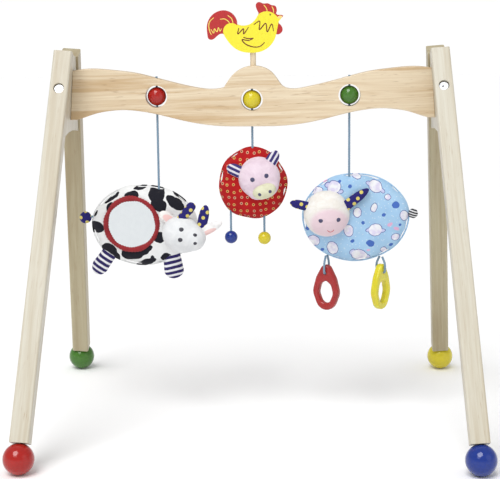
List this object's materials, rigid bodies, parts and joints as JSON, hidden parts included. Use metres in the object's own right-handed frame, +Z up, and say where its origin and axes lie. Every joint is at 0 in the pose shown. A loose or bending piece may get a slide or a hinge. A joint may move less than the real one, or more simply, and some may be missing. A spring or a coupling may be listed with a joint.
{
  "type": "activity play gym",
  "caption": "Wooden baby play gym: splayed legs with ball feet, wavy crossbar, rooster figure and hanging padded animal toys.",
  "frame": {"origin": "on the floor, at the middle of the four ball feet", "axes": "+X to the right along the crossbar, +Y to the rear, +Z up"},
  "size_m": [0.6156, 0.5376, 0.5799],
  "materials": {
    "leg_wood": "clear satin varnish over pale rubberwood",
    "bar_wood": "clear satin varnish, grain along the bar",
    "block_wood": "clear satin varnish",
    "dowel_wood": "bare turned dowel",
    "red_lacquer": "turned wood with gloss lacquer",
    "blue_lacquer": "turned wood with gloss lacquer",
    "green_lacquer": "turned wood with gloss lacquer",
    "yellow_lacquer": "turned wood with gloss lacquer",
    "zinc_steel": "bright zinc plating",
    "rooster_paint": "painted board",
    "blue_cord": "twisted cotton cord",
    "cow_print": "printed cotton",
    "mirror_film": "flexible acrylic mirror",
    "red_binding": "bias binding",
    "white_velour": "short velour",
    "ear_velour": "white and pink velour",
    "navy_dots": "printed cotton with yellow dots",
    "navy_stripes": "striped cotton",
    "red_print": "printed cotton",
    "pink_velour": "short velour",
    "snout_velour": "short velour",
    "blue_print": "printed cotton",
    "cream_velour": "short velour",
    "black_stripes": "striped cotton",
    "red_plastic": "moulded plastic",
    "yellow_plastic": "moulded plastic"
  },
  "bodies": {
    "frame": {"bar_dowels": "dowel_wood", "barrel_nuts": "zinc_steel", "cow_bar_cord": "blue_cord", "crossbar": "bar_wood", "foot_dowels": "dowel_wood", "frame_bolts": "zinc_steel", "front_left_foot": "red_lacquer", "front_left_leg": "leg_wood", "front_right_foot": "blue_lacquer", "front_right_leg": "leg_wood", "lamb_bar_cord": "blue_cord", "left_end_block": "block_wood", "pig_bar_cord": "blue_cord", "rear_left_foot": "green_lacquer", "rear_left_leg": "leg_wood", "rear_right_foot": "yellow_lacquer", "rear_right_leg": "leg_wood", "right_end_block": "block_wood", "rooster": "rooster_paint", "rooster_dowel": "dowel_wood"},
    "cow_neck": {"cow_neck_cord": "blue_cord"},
    "cow_cord": {"cow_cord": "blue_cord"},
    "cow_toy": {"cow_body": "cow_print", "cow_head": "white_velour", "cow_left_ear": "ear_velour", "cow_left_foot": "navy_stripes", "cow_left_horn": "navy_dots", "cow_mirror": "mirror_film", "cow_mirror_rim": "red_binding", "cow_right_ear": "ear_velour", "cow_right_foot": "navy_stripes", "cow_right_horn": "navy_dots", "cow_tail": "navy_dots", "cow_tail_cord": "blue_cord"},
    "pig_neck": {"pig_neck_cord": "blue_cord"},
    "pig_cord": {"pig_cord": "blue_cord"},
    "pig_toy": {"pig_body": "red_print", "pig_head": "pink_velour", "pig_snout": "snout_velour", "pig_left_ear": "navy_stripes", "pig_right_ear": "navy_stripes"},
    "lamb_neck": {"lamb_neck_cord": "blue_cord"},
    "lamb_cord": {"lamb_cord": "blue_cord"},
    "lamb_toy": {"lamb_body": "blue_print", "lamb_head": "cream_velour", "lamb_left_ear": "navy_dots", "lamb_right_ear": "navy_dots", "lamb_tail": "black_stripes"},
    "red_bead": {"red_bead": "red_lacquer"},
    "yellow_bead": {"yellow_bead": "yellow_lacquer"},
    "green_bead": {"green_bead": "green_lacquer"},
    "pig_left_pendant": {"pig_left_string": "blue_cord", "pig_left_ball": "blue_lacquer"},
    "pig_right_pendant": {"pig_right_string": "blue_cord", "pig_right_ball": "yellow_lacquer"},
    "red_ring_loop": {"red_ring_loop": "blue_cord"},
    "red_ring": {"red_ring": "red_plastic"},
    "yellow_ring_loop": {"yellow_ring_loop": "blue_cord"},
    "yellow_ring": {"yellow_ring": "yellow_plastic"}
  },
  "joints": [
    {"name": "red_bead_spin", "type": "hinge", "parent": "frame", "child": "red_bead", "pos_m": [-0.1305, 0, 0.454], "axis": [0, 0, 1], "continuous": true},
    {"name": "cow_sway", "type": "hinge", "parent": "frame", "child": "cow_neck", "pos_m": [-0.1305, 0, 0.43], "axis": [0, 1, 0], "range_deg": [-6, 6]},
    {"name": "cow_swing", "type": "hinge", "parent": "cow_neck", "child": "cow_cord", "pos_m": [-0.1305, 0, 0.422], "axis": [1, 0, 0], "range_deg": [-28, 28]},
    {"name": "cow_twist", "type": "hinge", "parent": "cow_cord", "child": "cow_toy", "pos_m": [-0.1305, 0, 0.33], "axis": [0, 0, 1], "range_deg": [-90, 90]},
    {"name": "yellow_bead_spin", "type": "hinge", "parent": "frame", "child": "yellow_bead", "pos_m": [0, 0, 0.4488], "axis": [0, 0, 1], "continuous": true},
    {"name": "pig_sway", "type": "hinge", "parent": "frame", "child": "pig_neck", "pos_m": [0, 0, 0.4125], "axis": [0, 1, 0], "range_deg": [-6, 6]},
    {"name": "pig_swing", "type": "hinge", "parent": "pig_neck", "child": "pig_cord", "pos_m": [0, 0, 0.4045], "axis": [1, 0, 0], "range_deg": [-28, 28]},
    {"name": "pig_twist", "type": "hinge", "parent": "pig_cord", "child": "pig_toy", "pos_m": [0, 0, 0.383], "axis": [0, 0, 1], "range_deg": [-90, 90]},
    {"name": "green_bead_spin", "type": "hinge", "parent": "frame", "child": "green_bead", "pos_m": [0.133, 0, 0.454], "axis": [0, 0, 1], "continuous": true},
    {"name": "lamb_sway", "type": "hinge", "parent": "frame", "child": "lamb_neck", "pos_m": [0.133, 0, 0.4296], "axis": [0, 1, 0], "range_deg": [-6, 6]},
    {"name": "lamb_swing", "type": "hinge", "parent": "lamb_neck", "child": "lamb_cord", "pos_m": [0.133, 0, 0.4216], "axis": [1, 0, 0], "range_deg": [-28, 28]},
    {"name": "lamb_twist", "type": "hinge", "parent": "lamb_cord", "child": "lamb_toy", "pos_m": [0.133, 0, 0.3455], "axis": [0, 0, 1], "range_deg": [-90, 90]},
    {"name": "pig_left_ball_swing", "type": "hinge", "parent": "pig_toy", "child": "pig_left_pendant", "pos_m": [-0.031, 0.002, 0.29358], "axis": [1, 0, 0], "range_deg": [-30, 30]},
    {"name": "pig_right_ball_swing", "type": "hinge", "parent": "pig_toy", "child": "pig_right_pendant", "pos_m": [0.0155, 0.002, 0.285], "axis": [1, 0, 0], "range_deg": [-30, 30]},
    {"name": "red_loop_twist", "type": "hinge", "parent": "lamb_toy", "child": "red_ring_loop", "pos_m": [0.102, 0.002, 0.2305], "axis": [0, 0, 1], "range_deg": [-30, 30]},
    {"name": "red_ring_rock", "type": "hinge", "parent": "red_ring_loop", "child": "red_ring", "pos_m": [0.102, 0.002, 0.2058], "axis": [-0.5, -0.866, 0], "range_deg": [-35, 35]},
    {"name": "yellow_loop_twist", "type": "hinge", "parent": "lamb_toy", "child": "yellow_ring_loop", "pos_m": [0.1775, 0.002, 0.2286], "axis": [0, 0, 1], "range_deg": [-30, 30]},
    {"name": "yellow_ring_rock", "type": "hinge", "parent": "yellow_ring_loop", "child": "yellow_ring", "pos_m": [0.1775, 0.002, 0.2068], "axis": [0.8192, -0.5736, 0], "range_deg": [-35, 35]}
  ]
}
